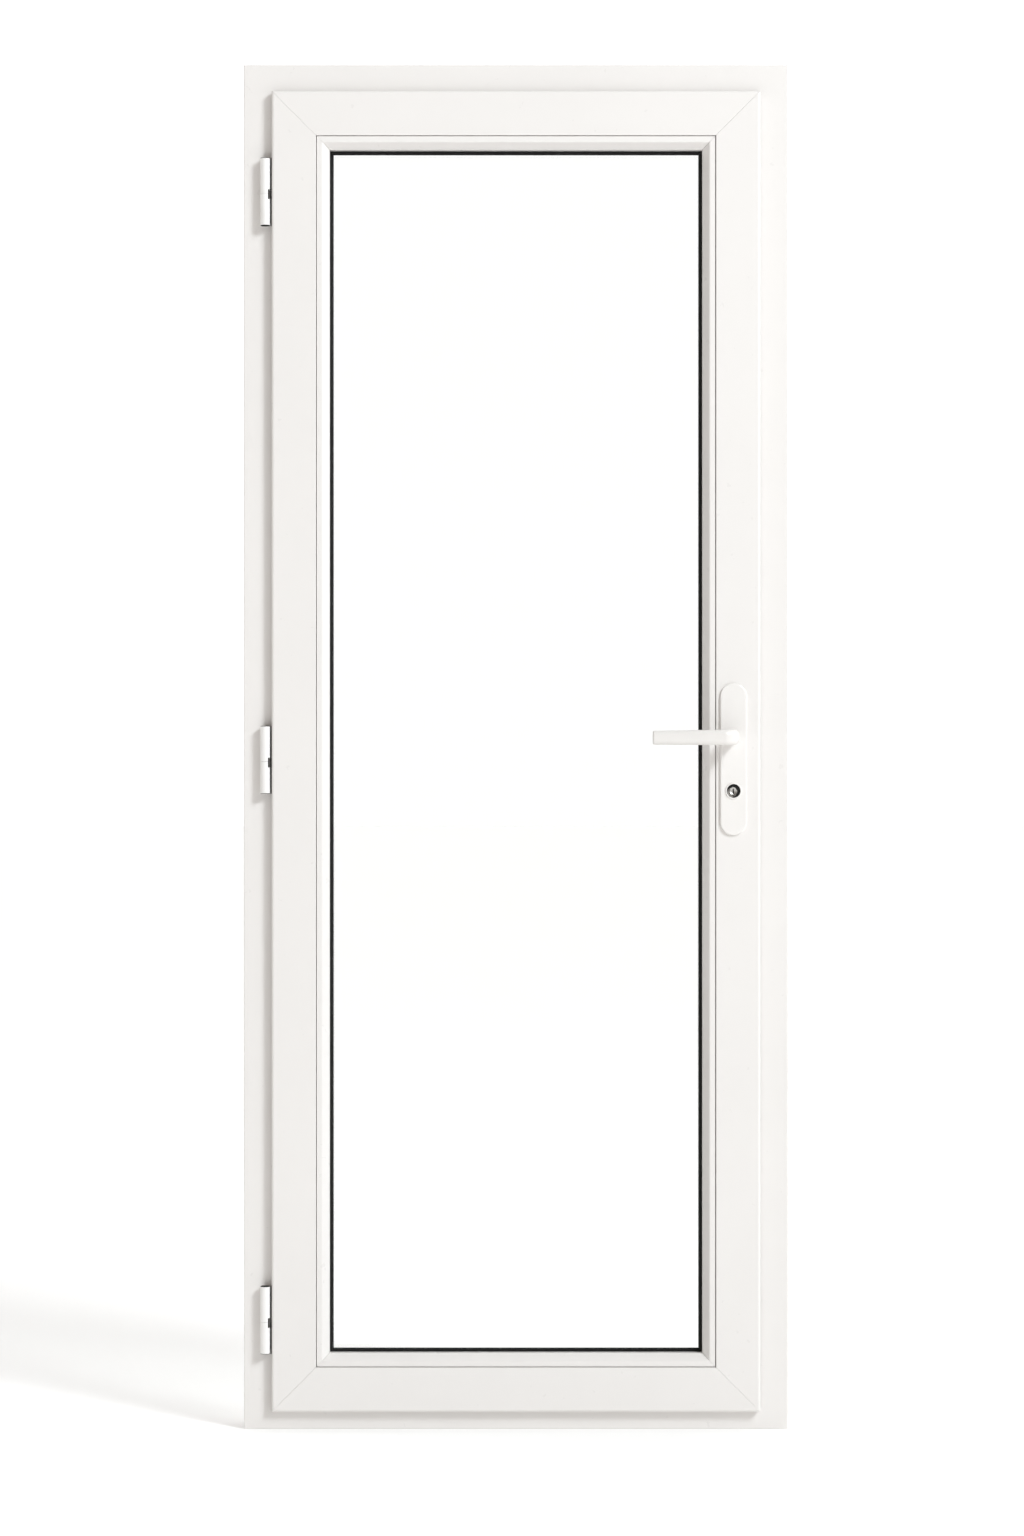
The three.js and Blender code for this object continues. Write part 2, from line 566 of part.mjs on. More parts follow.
part(group, "lock_follower", shape(
  [
    roundBar("y", FOLLOWER_RADIUS, LOCK_Y - FOLLOWER_HALF, LOCK_Y + FOLLOWER_HALF, leverAxis),
    box(LOCK_X, LOCK_X + FINGER_REACH, LOCK_Y - FOLLOWER_HALF, LOCK_Y + FOLLOWER_HALF,
      LEVER_Z - FINGER_RADIUS, LEVER_Z + FINGER_RADIUS),
    roundBar("y", FINGER_RADIUS, LOCK_Y - FOLLOWER_HALF, LOCK_Y + FOLLOWER_HALF,
      { x: LOCK_X + FINGER_REACH, z: LEVER_Z }),
  ],
  [socket(-80, 80)]), zincSteel);

function stadium(width, height, middleX, middleZ) {
  const radius = width / 2;
  const straight = height / 2 - radius;
  const result = new THREE.Shape();
  result.absarc(middleX, middleZ + straight, radius, 0, Math.PI, false);
  result.absarc(middleX, middleZ - straight, radius, Math.PI, 2 * Math.PI, false);
  return result;
}

const innerPlateBack = SASH_FRONT - GAP;
const innerPlateFront = innerPlateBack - INNER_PLATE_THICKNESS;
const outerPlateFront = SASH_BACK + GAP;
const outerPlateBack = outerPlateFront + OUTER_PLATE_THICKNESS;
const PLATE_BEVEL = 1.2;
const STEM_RADIUS = 10;
const OUTER_STEM_RADIUS = 7.5;
const plateHoles = (stem) => [
  roundBar("y", stem + GAP, -100, 100, leverAxis),
  roundBar("y", CYLINDER_HOLE, -100, 100, { x: LOCK_X, z: CYLINDER_Z }),
];
const RIM_HEIGHT = 2;
const cylinderAxis = { x: LOCK_X, z: CYLINDER_Z };

part(group, "inner_backplate", shape(
  [
    slab(stadium(INNER_PLATE_WIDTH, PLATE_HEIGHT, LOCK_X, PLATE_MIDDLE_Z),
      innerPlateFront, innerPlateBack, PLATE_BEVEL),
    roundBar("y", RIM_RADIUS, innerPlateFront - RIM_HEIGHT, innerPlateBack - 1, cylinderAxis),
  ],
  plateHoles(STEM_RADIUS)), whitePowderCoat);
part(group, "outer_backplate", shape(
  [
    slab(stadium(OUTER_PLATE_WIDTH, PLATE_HEIGHT, LOCK_X, PLATE_MIDDLE_Z),
      outerPlateFront, outerPlateBack, PLATE_BEVEL),
    roundBar("y", RIM_RADIUS, outerPlateFront + 1, outerPlateBack + RIM_HEIGHT, cylinderAxis),
  ],
  plateHoles(OUTER_STEM_RADIUS)), whitePowderCoat);

const STEM_EMBED = 3;           // how far a stem sits in its backplate
const SOCKET_IN = 20;           // the square socket, from the plate's face each way
const SOCKET_OUT = 25;
const LEVER_BEVEL = 3;
const TIP_RADIUS = 5;

// A lever: a stem out of the plate, a rounded elbow and a flat-sided bar that ends in a rounded tip.
function lever({ way, plateFace, standOff, stem, height, thickness, reach }) {
  const barY = plateFace + way * standOff;
  const span = (from, to) => [plateFace + way * from, plateFace + way * to].sort((a, b) => a - b);
  const elbow = new THREE.SphereGeometry(stem, ROUND, ROUND / 2)
    .scale(1, 1, height / 2 / stem)
    .translate(LOCK_X, barY, LEVER_Z);
  const bar = new THREE.Shape();
  const low = LEVER_Z - height / 2;
  const high = LEVER_Z + height / 2;
  const tip = LOCK_X - reach;
  bar.moveTo(LOCK_X, low);
  bar.lineTo(LOCK_X, high);
  bar.lineTo(tip + TIP_RADIUS, high);
  bar.absarc(tip + TIP_RADIUS, high - TIP_RADIUS, TIP_RADIUS, QUARTER, 2 * QUARTER, false);
  bar.absarc(tip + TIP_RADIUS, low + TIP_RADIUS, TIP_RADIUS, 2 * QUARTER, 3 * QUARTER, false);
  bar.closePath();
  return shape(
    [
      roundBar("y", stem, ...span(-STEM_EMBED, standOff), leverAxis),
      elbow,
      slab(bar, barY - thickness / 2, barY + thickness / 2, LEVER_BEVEL),
    ],
    [socket(...span(-SOCKET_IN, SOCKET_OUT))]);
}

part(group, "lever_inner",
  lever({
    way: -1, plateFace: innerPlateFront, standOff: 47, stem: STEM_RADIUS,
    height: 24, thickness: 17, reach: 130.5,
  }), whitePowderCoat);
part(group, "lever_outer",
  lever({
    way: 1, plateFace: outerPlateBack, standOff: 31, stem: OUTER_STEM_RADIUS,
    height: 18, thickness: 12, reach: 120,
  }), whitePowderCoat);
part(group, "spindle", squareBar(SPINDLE_HALF, -80, 46), zincSteel);

// ---------- cylinder ----------

const INNER_RECESS = 14;        // depth of the cylinder's face below the rim
const OUTER_RECESS = 4;
const PLUG_NOSE = 7;            // how far the plug stands out of the cylinder's inner face
const cylinderFront = innerPlateFront - RIM_HEIGHT + INNER_RECESS;
const cylinderBack = outerPlateBack + RIM_HEIGHT - OUTER_RECESS;
part(group, "lock_cylinder", shape(
  [roundBar("y", CYLINDER_RADIUS, cylinderFront, cylinderBack, cylinderAxis)],
  [roundBar("y", PLUG_RADIUS + GAP, -100, 100, cylinderAxis)]), brushedNickel);
const KEYWAY_HALF = 1.2;
const KEYWAY_LOW = 4.5;         // the keyway reaches further below the axis than above it
const KEYWAY_HIGH = 3.5;
const KEYWAY_DEPTH = 22;
const keyway = (y0, y1) =>
  box(LOCK_X - KEYWAY_HALF, LOCK_X + KEYWAY_HALF, y0, y1,
    CYLINDER_Z - KEYWAY_LOW, CYLINDER_Z + KEYWAY_HIGH);
part(group, "cylinder_plug", shape(
  [roundBar("y", PLUG_RADIUS, cylinderFront - PLUG_NOSE, cylinderBack, cylinderAxis)],
  [
    keyway(cylinderFront - PLUG_NOSE - 1, cylinderFront + KEYWAY_DEPTH),
    keyway(cylinderBack - KEYWAY_DEPTH, cylinderBack + 1),
  ]), brushedNickel);

export default group;
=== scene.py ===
"""Looks of the glazed casement door: white welded PVC profiles, a clear double pane and white hardware.

Lengths are in millimetres until a mesh is made. +X is to the right seen from the room, +Y points from
the room to the outside and +Z points up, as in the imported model.
"""

import math

import bmesh
import bpy
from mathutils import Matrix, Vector


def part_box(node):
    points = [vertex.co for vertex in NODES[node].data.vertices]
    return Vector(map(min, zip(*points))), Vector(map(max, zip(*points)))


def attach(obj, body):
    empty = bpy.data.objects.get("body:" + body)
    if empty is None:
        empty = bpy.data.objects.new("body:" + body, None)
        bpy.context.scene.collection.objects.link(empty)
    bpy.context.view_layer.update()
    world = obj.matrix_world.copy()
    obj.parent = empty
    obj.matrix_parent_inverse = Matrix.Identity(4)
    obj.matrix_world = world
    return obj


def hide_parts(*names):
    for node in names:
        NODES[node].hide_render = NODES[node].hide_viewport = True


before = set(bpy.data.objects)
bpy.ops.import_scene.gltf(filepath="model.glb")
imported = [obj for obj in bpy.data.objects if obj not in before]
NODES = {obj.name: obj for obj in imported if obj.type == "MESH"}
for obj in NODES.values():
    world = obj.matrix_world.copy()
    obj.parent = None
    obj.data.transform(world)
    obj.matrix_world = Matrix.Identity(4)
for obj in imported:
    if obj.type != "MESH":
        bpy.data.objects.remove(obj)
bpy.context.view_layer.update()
MM = 0.001


def low(node):
    """The lowest corner of a CAD node, in millimetres."""
    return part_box(node)[0] / MM


def high(node):
    """The highest corner of a CAD node, in millimetres."""
    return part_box(node)[1] / MM


# ---------- driving dimensions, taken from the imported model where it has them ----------

FRAME_HALF = high("frame_head").x           # half the width of the outer frame
FRAME_TOP = high("frame_head").z
FRAME_FRONT = low("frame_head").y
FRAME_BACK = high("frame_head").y
FRAME_FACE = 53                             # width of the room face, up to the rebate wall
STOP_REACH = 73
STOP_FRONT = 20
THRESHOLD_CUT = 15                          # how much of the profile the threshold lacks

SASH_HALF = high("sash_top_rail").x         # half the width of the leaf
SASH_TOP = high("sash_top_rail").z
SASH_BOTTOM = low("sash_bottom_rail").z
SASH_FRONT = low("sash_top_rail").y
SASH_BACK = high("sash_top_rail").y
SASH_FACE = 71
LIP_BACK = -38
LIP_REACH = 20
LEG_FRONT = 9
LEG_REACH = 92
LOCK_Y = -10
GROOVE_HALF = 10.3
GROOVE_FLOOR = LIP_REACH + 3.3
CHANNEL_HALF = 8
CHANNEL_FLOOR = LIP_REACH + 10

BEAD_START = 72
BEAD_FLAT = 80
BEAD_FRONT = -49
BEAD_SLOPE_END = -37
BEAD_BACK = -22
SIGHT_LINE = 98
OUTER_SIGHT_LINE = 93

WELD_GAP = 0.26                             # what is seen of the cut between two mitred members
TOUCH = 0.3                                 # air between two pieces that touch

# Rectangles are (half width, bottom, top). The frame's goes below the floor by what the threshold lacks.
FRAME_RECT = (FRAME_HALF, -THRESHOLD_CUT, FRAME_TOP)
SASH_RECT = (SASH_HALF, SASH_BOTTOM, SASH_TOP)
SIDES = ("left", "right", "top", "bottom")

SPINDLE_HOLE = 9.5
CYLINDER_BORE = 10.8
THROUGH = 80                                # reach of a hole's cutter, past both faces of the leaf
LOCK_X = (low("spindle").x + high("spindle").x) / 2
LEVER_Z = (low("spindle").z + high("spindle").z) / 2
CYLINDER_Z = (low("cylinder_plug").z + high("cylinder_plug").z) / 2


# ---------- meshes ----------

def arc(centre, radius, start, turn, steps):
    """Points on a circle from one angle through a turn, both in radians."""
    angles = [start + turn * k / steps for k in range(steps + 1)]
    return [Vector((centre[0] + radius * math.cos(a), centre[1] + radius * math.sin(a))) for a in angles]


def rounded(corners, steps=5):
    """A closed outline from corners given as (u, v, radius), with an arc in place of each corner."""
    outline = []
    for i, (u, v, radius) in enumerate(corners):
        here = Vector((u, v))
        if not radius:
            outline.append(here)
            continue
        before = (Vector(corners[i - 1][:2]) - here).normalized()
        after = (Vector(corners[(i + 1) % len(corners)][:2]) - here).normalized()
        half = before.angle(after) / 2
        centre = here + (before + after).normalized() * radius / math.sin(half)
        start = here + before * radius / math.tan(half) - centre
        end = here + after * radius / math.tan(half) - centre
        first = math.atan2(start.y, start.x)
        turn = (math.atan2(end.y, end.x) - first + math.pi) % (2 * math.pi) - math.pi
        outline += arc(centre, radius, first, turn, steps)
    return outline


def inset(outline, distance):
    """The same closed outline moved inwards by a small distance."""
    area = sum(a.x * b.y - b.x * a.y for a, b in zip(outline, outline[1:] + outline[:1]))
    way = 1 if area > 0 else -1
    moved = []
    for i, here in enumerate(outline):
        before = (here - outline[i - 1]).normalized()
        after = (outline[(i + 1) % len(outline)] - here).normalized()
        normals = [Vector((-d.y, d.x)) * way for d in (before, after)]
        middle = (normals[0] + normals[1]).normalized()
        moved.append(here + middle * distance / max(middle.dot(normals[0]), 0.3))
    return moved


def loft(rings, capped=True, closed=False):
    """Vertices and faces of a skin through rings that all have the same number of points."""
    size = len(rings[0])
    points = [p for ring in rings for p in ring]
    faces = []
    for r in range(len(rings) if closed else len(rings) - 1):
        a = r * size
        b = (r + 1) % len(rings) * size
        for k in range(size):
            n = (k + 1) % size
            faces.append((a + k, a + n, b + n, b + k))
    if capped and not closed:
        faces.append(tuple(range(size)))
        faces.append(tuple(range(len(points) - size, len(points))))
    return points, faces


def along_axis(axis, centre, across, other, along):
    """A point at two distances across an axis and one along it; centre gives the axis's place."""
    x, y, z = centre
    if axis == "x":
        return Vector((along, y + across, z + other))
    if axis == "y":
        return Vector((x + across, along, z + other))
    return Vector((x + across, y + other, along))


def lathe(profile, axis, centre, steps=64, closed=False):
    """A turned solid from (radius, place along the axis) points. A closed profile makes a ring."""
    rings = []
    for radius, along in profile:
        circle = arc((0, 0), radius, 0, 2 * math.pi, steps)[:-1]
        rings.append([along_axis(axis, centre, p.x, p.y, along) for p in circle])
    return loft(rings, closed=closed)


def turned_bar(radius, start, end, edge, axis, centre, steps=64):
    """A round bar with rounded edges."""
    first = arc((0, 0), edge, -math.pi / 2, math.pi / 2, 4)
    last = arc((0, 0), edge, 0, math.pi / 2, 4)
    profile = [(radius - edge + p.x, start + edge + p.y) for p in first]
    profile += [(radius - edge + p.x, end - edge + p.y) for p in last]
    return lathe(profile, axis, centre, steps)


def block(x0, x1, y0, y1, z0, z1, edge=0.6):
    """A box with rounded upright edges and bevelled ends."""
    flat = rounded([(x0, y0, edge), (x1, y0, edge), (x1, y1, edge), (x0, y1, edge)], 3)
    small = inset(flat, edge * 0.6)
    levels = [(small, z0), (flat, z0 + edge * 0.6), (flat, z1 - edge * 0.6), (small, z1)]
    return loft([[Vector((p.x, p.y, z)) for p in ring] for ring, z in levels])


def mitre_point(side, rect, point, end, gap):
    """Where a point of a section lies at one end (-1 or 1) of one side of a rectangle."""
    half, bottom, top = rect
    u, y = point
    if side in ("left", "right"):
        x = u - half if side == "left" else half - u
        z = bottom + u + gap if end < 0 else top - u - gap
        return Vector((x, y, z))
    z = bottom + u if side == "bottom" else top - u
    return Vector(((half - u - gap) * end, y, z))


def mitred_bar(section, side, rect, gap=0.0, chamfer=0.0):
    """One member with 45 degree ends, swept from a section whose u runs in from the rectangle's edge."""
    small = inset(section, chamfer) if chamfer else section
    ends = [(small, -1, gap), (section, -1, gap + chamfer), (section, 1, gap + chamfer), (small, 1, gap)]
    if not chamfer:
        ends = ends[1:3]
    return loft([[mitre_point(side, rect, p, end, g) for p in ring] for ring, end, g in ends])


def ring_round(section, rect):
    """One unbroken ring swept round a rectangle, with mitred corners."""
    corners = [("left", -1), ("left", 1), ("right", 1), ("right", -1)]
    rings = [[mitre_point(side, rect, p, end, 0) for p in section] for side, end in corners]
    return loft(rings, closed=True)


def stadium(width, height, middle_x, middle_z, steps=24):
    """A slot-shaped outline in x and z, with full round ends."""
    radius = width / 2
    straight = height / 2 - radius
    upper = arc((middle_x, middle_z + straight), radius, 0, math.pi, steps)
    return upper + arc((middle_x, middle_z - straight), radius, math.pi, math.pi, steps)


def plate(outline, back, front, edge):
    """A flat plate in the XZ plane whose front edge is rounded; front and back are values of y."""
    way = 1 if front > back else -1
    rings = [[Vector((p.x, back, p.y)) for p in outline]]
    for k in range(7):
        angle = math.pi / 2 * k / 6
        ring = inset(outline, max(edge * (1 - math.cos(angle)), 0.0001))
        y = front - way * edge * (1 - math.sin(angle))
        rings.append([Vector((p.x, y, p.y)) for p in ring])
    return loft(rings)


def to_mesh(name, *solids):
    """One mesh in metres from several (points, faces) solids."""
    points = []
    faces = []
    for solid_points, solid_faces in solids:
        start = len(points)
        points += [Vector(p) * MM for p in solid_points]
        faces += [tuple(i + start for i in face) for face in solid_faces]
    mesh = bpy.data.meshes.new(name)
    mesh.from_pydata(points, [], faces)
    sheet = bmesh.new()
    sheet.from_mesh(mesh)
    bmesh.ops.remove_doubles(sheet, verts=sheet.verts, dist=1e-7)
    bmesh.ops.recalc_face_normals(sheet, faces=sheet.faces)
    sheet.to_mesh(mesh)
    sheet.free()
    return mesh


def cut(mesh, *solids):
    """The mesh with each solid cut away."""
    target = bpy.data.objects.new("work", mesh)
    bpy.context.scene.collection.objects.link(target)
    tools = []
    for solid in solids:
        tool = bpy.data.objects.new("tool", to_mesh("tool", solid))
        bpy.context.scene.collection.objects.link(tool)
        tools.append(tool)
        change = target.modifiers.new("cut", "BOOLEAN")
        change.operation = "DIFFERENCE"
        change.solver = "EXACT"
        change.object = tool
    bpy.context.view_layer.update()
    seen = target.evaluated_get(bpy.context.evaluated_depsgraph_get())
    result = bpy.data.meshes.new_from_object(seen)
    for thing in [target, *tools]:
        bpy.data.objects.remove(thing)
    return result


def smooth(piece, angle=32):
    """Smooth shading that keeps flat faces flat and edges sharper than the angle sharp."""
    piece.data.shade_smooth()
    piece.data.set_sharp_from_angle(angle=math.radians(angle))
    normals = piece.modifiers.new("even_shading", "WEIGHTED_NORMAL")
    normals.keep_sharp = True
    normals.weight = 100


def add_piece(name, mesh, material, slot, body, *nodes):
    """A finished piece that rides on a body and stands for some CAD nodes."""
    mesh.name = name
    piece = bpy.data.objects.new(name, mesh)
    bpy.context.scene.collection.objects.link(piece)
    mesh.materials.clear()
    mesh.materials.append(material)
    smooth(piece)
    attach(piece, body)
    if nodes:
        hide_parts(*nodes)
    return piece


# ---------- materials ----------

class Material:
    """A node material that starts from one Principled shader and object coordinates."""

    def __init__(self, name):
        self.material = bpy.data.materials.new(name)
        self.material.use_nodes = True
        self.tree = self.material.node_tree
        self.shader = self.tree.nodes["Principled BSDF"]
        self.place = self.add("ShaderNodeTexCoord").outputs["Object"]

    def add(self, kind, **settings):
        node = self.tree.nodes.new(kind)
        for key, value in settings.items():
            setattr(node, key, value)
        return node

    def link(self, start, end):
        self.tree.links.new(start, end)

    def fixed(self, **values):
        for key, value in values.items():
            self.shader.inputs[key.replace("_", " ")].default_value = value

    def noise(self, scale, detail=3.0, roughness=0.55, stretch=None):
        place = self.place
        if stretch:
            mapping = self.add("ShaderNodeMapping")
            mapping.inputs["Scale"].default_value = stretch
            self.link(self.place, mapping.inputs["Vector"])
            place = mapping.outputs["Vector"]
        node = self.add("ShaderNodeTexNoise")
        node.inputs["Scale"].default_value = scale
        node.inputs["Detail"].default_value = detail
        node.inputs["Roughness"].default_value = roughness
        self.link(place, node.inputs["Vector"])
        return node.outputs["Fac"]

    def ramp(self, value, stops):
        node = self.add("ShaderNodeValToRGB")
        steps = node.color_ramp.elements
        for step, (position, colour) in zip(steps, stops):
            step.position = position
            step.color = (*colour, 1)
        self.link(value, node.inputs["Fac"])
        return node.outputs["Color"]

    def levels(self, value, start, end):
        node = self.add("ShaderNodeMapRange")
        node.inputs["From Min"].default_value = 0.3
        node.inputs["From Max"].default_value = 0.7
        node.inputs["To Min"].default_value = start
        node.inputs["To Max"].default_value = end
        self.link(value, node.inputs["Value"])
        return node.outputs["Result"]

    def colour(self, value, stops):
        self.link(self.ramp(value, stops), self.shader.inputs["Base Color"])

    def roughness(self, value, start, end):
        self.link(self.levels(value, start, end), self.shader.inputs["Roughness"])

    def bump(self, value, strength, distance):
        """Adds relief; called again, it lays finer relief on the first."""
        node = self.add("ShaderNodeBump")
        node.inputs["Strength"].default_value = strength
        node.inputs["Distance"].default_value = distance
        self.link(value, node.inputs["Height"])
        normal = self.shader.inputs["Normal"]
        if normal.is_linked:
            self.link(normal.links[0].from_socket, node.inputs["Normal"])
        self.link(node.outputs["Normal"], normal)


def scaled(colour, factor):
    return tuple(channel * factor for channel in colour)


def white_pvc():
    white = (0.830, 0.806, 0.784)
    pvc = Material("welded_pvc")
    pvc.colour(pvc.noise(3.0, 4.0), [(0.3, scaled(white, 0.985)), (0.7, scaled(white, 1.012))])
    pvc.roughness(pvc.noise(60.0, 4.0), 0.27, 0.40)
    pvc.bump(pvc.noise(5.0, 1.0), 0.10, 0.0006)
    pvc.bump(pvc.noise(2200.0, 2.0), 0.06, 0.00003)
    pvc.fixed(IOR=1.5)
    return pvc.material


def powder_coat(name, white):
    coat = Material(name)
    coat.colour(coat.noise(25.0, 3.0), [(0.3, scaled(white, 0.99)), (0.7, scaled(white, 1.005))])
    coat.roughness(coat.noise(180.0, 3.0), 0.30, 0.36)
    coat.bump(coat.noise(1400.0, 2.0), 0.04, 0.00001)
    coat.fixed(IOR=1.5, Coat_Weight=0.15, Coat_Roughness=0.2)
    return coat.material


def black_rubber():
    black = (0.0045, 0.0045, 0.0042)
    rubber = Material("gasket_rubber")
    rubber.colour(rubber.noise(90.0, 5.0), [(0.3, black), (0.75, scaled(black, 2.2))])
    rubber.roughness(rubber.noise(300.0, 3.0), 0.55, 0.8)
    rubber.bump(rubber.noise(1500.0, 3.0), 0.2, 0.00006)
    rubber.fixed(Specular_IOR_Level=0.25)
    return rubber.material


def clear_glass():
    glass = Material("float_glass")
    glass.colour(glass.noise(0.8, 2.0), [(0.3, (0.992, 0.998, 0.994)), (0.7, (0.998, 1.0, 0.998))])
    glass.bump(glass.noise(1.2, 1.0), 0.02, 0.0003)
    glass.fixed(Roughness=0.0, IOR=1.5, Transmission_Weight=1.0)
    clear = glass.add("ShaderNodeBsdfTransparent")
    clear.inputs["Color"].default_value = (0.62, 0.63, 0.625, 1)
    path = glass.add("ShaderNodeLightPath")
    choice = glass.add("ShaderNodeMixShader")
    glass.link(path.outputs["Is Shadow Ray"], choice.inputs["Fac"])
    glass.link(glass.shader.outputs["BSDF"], choice.inputs[1])
    glass.link(clear.outputs["BSDF"], choice.inputs[2])
    glass.link(choice.outputs["Shader"], glass.tree.nodes["Material Output"].inputs["Surface"])
    return glass.material


def metal(name, colour, spangle, rough, stretch=None, grain=0.05):
    """Bare metal: a mottle of slightly different greys and a fine grain along one direction."""
    bare = Material(name)
    bare.colour(bare.noise(spangle, 2.0, 0.4), [(0.35, scaled(colour, 0.86)), (0.65, colour)])
    bare.roughness(bare.noise(spangle * 1.7, 3.0), *rough)
    bare.bump(bare.noise(900.0, 2.0, 0.5, stretch), grain, 0.00004)
    bare.fixed(Metallic=1.0)
    return bare.material


PVC = white_pvc()
COAT = powder_coat("hinge_coat", (0.905, 0.893, 0.875))
HANDLE_COAT = powder_coat("handle_coat", (0.850, 0.826, 0.802))
# The levers get a darker copy of the plate's white: painted shade, standing for the shade their round bars
# should show under the lamps.
LEVER_SHADED_COAT = powder_coat("lever_painted_shade_coat", (0.800, 0.776, 0.750))
RUBBER = black_rubber()
GLASS = clear_glass()
ZINC = metal("zinc_plate", (0.62, 0.63, 0.64), 260.0, (0.34, 0.52))
NICKEL = metal("satin_nickel", (0.66, 0.645, 0.615), 40.0, (0.22, 0.34), (1.0, 1.0, 0.08), 0.12)
PLUG = metal("plug_nickel", (0.86, 0.84, 0.81), 40.0, (0.42, 0.55))
SPACER = metal("mill_aluminium", (0.55, 0.56, 0.57), 120.0, (0.38, 0.5), (0.1, 1.0, 0.1))
SLOT_MATERIALS = {
    "white_pvc": PVC,
    "white_coated_metal": COAT,
    "black_rubber": RUBBER,
    "clear_glass": GLASS,
    "zinc_steel": ZINC,
    "brushed_nickel": NICKEL,
    "spacer_aluminium": SPACER,
}


# ---------- outer frame ----------

def grooved_edge(start, depth, middles, half_width):
    """Corners of snap-in grooves down the wall side of the frame, from the outside to the room."""
    corners = []
    for y in middles:
        corners += [
            (start, y + half_width, 0.3), (start + depth, y + half_width, 0.2),
            (start + depth, y - half_width, 0.2), (start, y - half_width, 0.3),
        ]
    return corners


SHADOW_GROOVE = FRAME_FRONT + 8             # a shallow groove down the rebate wall starts here
SHADOW_GROOVE_DEPTH = 0.8


def frame_section(start):
    """The frame's profile; start is where its wall side lies, counted from the frame's edge."""
    groove_floor = FRAME_FACE - SHADOW_GROOVE_DEPTH
    corners = [
        (start, FRAME_FRONT, 1.6),
        (FRAME_FACE, FRAME_FRONT, 2.0),
        (FRAME_FACE, SHADOW_GROOVE, 0.2), (groove_floor, SHADOW_GROOVE + 0.6, 0.2),
        (groove_floor, SHADOW_GROOVE + 2.4, 0.2), (FRAME_FACE, SHADOW_GROOVE + 3, 0.2),
        (FRAME_FACE, STOP_FRONT, 1.0),
        (STOP_REACH, STOP_FRONT, 1.2),
        (STOP_REACH, FRAME_BACK, 3.0),
        (start, FRAME_BACK, 1.6),
    ]
    return rounded(corners + grooved_edge(start, 2.0, (20, 0, -20), 3.0))


below_floor = block(-2 * FRAME_HALF, 2 * FRAME_HALF, -100, 100, -100, 0)
add_piece("frame_hinge_jamb_profile",
          cut(to_mesh("jamb", mitred_bar(frame_section(0), "left", FRAME_RECT)), below_floor),
          PVC, "white_pvc", "frame", "frame_hinge_jamb")
BOLT_AIR = 2                                # above and below the bolt in its pocket
POCKET_HALF = 6
bolt_low = low("deadbolt").z - BOLT_AIR
bolt_high = high("deadbolt").z + BOLT_AIR
pocket = block(low("keep_centre").x - 10, high("keep_centre").x + 8,
               LOCK_Y - POCKET_HALF, LOCK_Y + POCKET_HALF, bolt_low, bolt_high, 0.5)
add_piece("frame_lock_jamb_profile",
          cut(to_mesh("jamb", mitred_bar(frame_section(0), "right", FRAME_RECT)), below_floor, pocket),
          PVC, "white_pvc", "frame", "frame_lock_jamb")
add_piece("frame_head_profile",
          to_mesh("head", mitred_bar(frame_section(0), "top", FRAME_RECT)),
          PVC, "white_pvc", "frame", "frame_head")
add_piece("frame_threshold_profile",
          to_mesh("threshold", mitred_bar(frame_section(THRESHOLD_CUT), "bottom", FRAME_RECT)),
          PVC, "white_pvc", "frame", "frame_threshold")

# The seal on the stop: a foot with two soft ribs towards the leaf.
seal_low = low("frame_seal").y
seal_high = high("frame_seal").y
stop_seal = rounded([
    (60, seal_high, 0.3), (60, seal_high - 0.9, 0.4), (61, seal_high - 0.9, 0.2), (61.5, seal_low, 0.5),
    (63.5, seal_low, 0.5), (64, seal_high - 0.9, 0.2), (66, seal_high - 0.9, 0.2), (66.5, seal_low, 0.5),
    (68.5, seal_low, 0.5), (69, seal_high - 0.9, 0.2), (70, seal_high - 0.9, 0.4), (70, seal_high, 0.3),
], 3)
add_piece("frame_seal_strip", to_mesh("seal", ring_round(stop_seal, FRAME_RECT)),
          RUBBER, "black_rubber", "frame", "frame_seal")

for side in ("left", "right"):
    node = "drain_cover_" + side
    a, b = low(node), high(node)
    hood = rounded([(a.y, b.z, 0.3), (a.y, a.z, 0.3), (a.y + 1.2, a.z, 0.3), (b.y, a.z + 6, 1.0),
                    (b.y, b.z - 2, 1.4)], 4)
    ends = [(inset(hood, 0.5), a.x), (hood, a.x + 0.7), (hood, b.x - 0.7), (inset(hood, 0.5), b.x)]
    cover = loft([[Vector((x, p.x, p.y)) for p in ring] for ring, x in ends])
    slot_cut = block(a.x + 4, b.x - 4, a.y + 0.9, b.y - 1.3, a.z - 1, a.z + 5, 0.4)
    add_piece(node + "_hood", cut(to_mesh("hood", cover), slot_cut),
              PVC, "white_pvc", "frame", node)


# ---------- leaf ----------

SASH_SECTION = rounded([
    (0, SASH_FRONT, 4.6), (SASH_FACE, SASH_FRONT, 0.9),
    (SASH_FACE, LEG_FRONT, 0.8), (LEG_REACH, LEG_FRONT, 0.8),
    (LEG_REACH, SASH_BACK, 2.6), (LIP_REACH, SASH_BACK, 2.0),
    (LIP_REACH, LOCK_Y + GROOVE_HALF, 0.4), (GROOVE_FLOOR, LOCK_Y + GROOVE_HALF, 0.2),
    (GROOVE_FLOOR, LOCK_Y + CHANNEL_HALF, 0.3), (CHANNEL_FLOOR, LOCK_Y + CHANNEL_HALF, 0.3),
    (CHANNEL_FLOOR, LOCK_Y - CHANNEL_HALF, 0.3), (GROOVE_FLOOR, LOCK_Y - CHANNEL_HALF, 0.3),
    (GROOVE_FLOOR, LOCK_Y - GROOVE_HALF, 0.2), (LIP_REACH, LOCK_Y - GROOVE_HALF, 0.4),
    (LIP_REACH, LIP_BACK, 0.5), (0, LIP_BACK, 1.4),
])
SASH_NODES = {
    "left": "sash_hinge_stile",
    "right": "sash_lock_stile",
    "top": "sash_top_rail",
    "bottom": "sash_bottom_rail",
}
